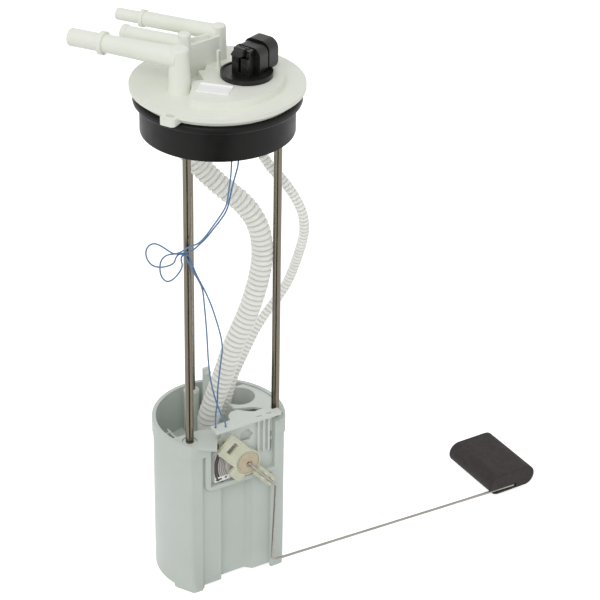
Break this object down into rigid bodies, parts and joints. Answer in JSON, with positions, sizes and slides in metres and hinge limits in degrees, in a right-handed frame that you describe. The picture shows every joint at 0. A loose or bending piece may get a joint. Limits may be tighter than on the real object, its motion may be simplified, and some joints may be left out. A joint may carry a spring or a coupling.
{
  "type": "fuel pump module",
  "caption": "In-tank fuel pump module: flanged cover with side ports and connector, guide rods, open reservoir with pump, and a swinging float arm level sender.",
  "frame": {"origin": "centre of the tank opening, on the sealing face that the tank seal's lip rests on", "axes": "+Z out of the tank; the level sender's flat face looks along -Y; the float arm reaches along +X at rest"},
  "size_m": [0.3782, 0.1616, 0.4675],
  "materials": {
    "cover_acetal": "satin moulded",
    "seal_rubber": "satin",
    "connector_nylon": "satin moulded",
    "terminal_brass": "bright",
    "rod_stainless": "drawn tube",
    "spring_steel": "drawn wire",
    "bushing_acetal": "moulded",
    "reservoir_acetal": "fine matt moulded",
    "hose_polyethylene": "translucent, satin",
    "wire_blue": "satin sleeve",
    "pump_steel": "plated",
    "pump_plastic": "moulded",
    "magnet_ferrite": "sintered",
    "armature_steel": "coated",
    "isolator_rubber": "matt",
    "strainer_mesh": "woven nylon",
    "card_ceramic": "fired ceramic",
    "track_ink": "printed ink",
    "rotor_acetal": "satin moulded",
    "button_acetal": "satin moulded",
    "arm_steel": "drawn wire",
    "float_foam": "closed-cell foam skin"
  },
  "bodies": {
    "flange": {"flange_cover": "cover_acetal", "tank_seal": "seal_rubber", "electrical_connector": "connector_nylon", "connector_terminals": "terminal_brass", "guide_rod_rear": "rod_stainless", "guide_rod_left": "rod_stainless", "guide_rod_right": "rod_stainless", "return_spring_rear": "spring_steel", "return_spring_left": "spring_steel", "return_spring_right": "spring_steel", "supply_hose": "hose_polyethylene", "return_hose": "hose_polyethylene", "sender_wire_a": "wire_blue", "sender_wire_b": "wire_blue"},
    "reservoir": {"guide_bushing_rear": "bushing_acetal", "guide_bushing_left": "bushing_acetal", "guide_bushing_right": "bushing_acetal", "reservoir_body": "reservoir_acetal", "base_valve": "isolator_rubber", "pump_retainer": "reservoir_acetal", "pump_shell": "pump_steel", "pump_inlet_cap": "pump_plastic", "pump_outlet_cap": "pump_plastic", "pump_magnets": "magnet_ferrite", "pump_isolator": "isolator_rubber", "inlet_strainer": "strainer_mesh", "jet_pump": "pump_plastic", "sender_bracket": "reservoir_acetal", "sender_housing": "reservoir_acetal", "resistor_card": "card_ceramic", "resistor_tracks": "track_ink", "sender_terminals": "terminal_brass"},
    "pump_rotor": {"pump_armature": "armature_steel", "pump_impeller": "pump_plastic"},
    "float_lever": {"float_rotor": "rotor_acetal", "pivot_button": "button_acetal", "wiper_contacts": "terminal_brass", "float_arm": "arm_steel", "sender_float": "float_foam"},
    "latch": {"connector_latch": "connector_nylon"}
  },
  "joints": [
    {"name": "reservoir_slide", "type": "slide", "parent": "flange", "child": "reservoir", "axis": [0, 0, 1], "range_m": [0, 0.045], "stiffness_N_per_m": 300, "springref_m": -0.05, "deforming": ["return_spring_rear", "return_spring_left", "return_spring_right", "supply_hose", "return_hose", "sender_wire_a", "sender_wire_b"]},
    {"name": "float_hinge", "type": "hinge", "parent": "reservoir", "child": "float_lever", "pos_m": [0.0061, -0.0387, -0.304], "axis": [0, -1, 0], "range_deg": [0, 65]},
    {"name": "pump_spin", "type": "hinge", "parent": "reservoir", "child": "pump_rotor", "pos_m": [-0.009, 0.003, -0.36], "axis": [0, 0, 1], "continuous": true},
    {"name": "latch_rock", "type": "hinge", "parent": "flange", "child": "latch", "pos_m": [0.01386, -0.01405, 0.0399], "axis": [0.3746, -0.9272, 0], "range_deg": [0, 8], "stiffness_Nm_per_rad": 0.05, "springref_deg": -5.73}
  ]
}
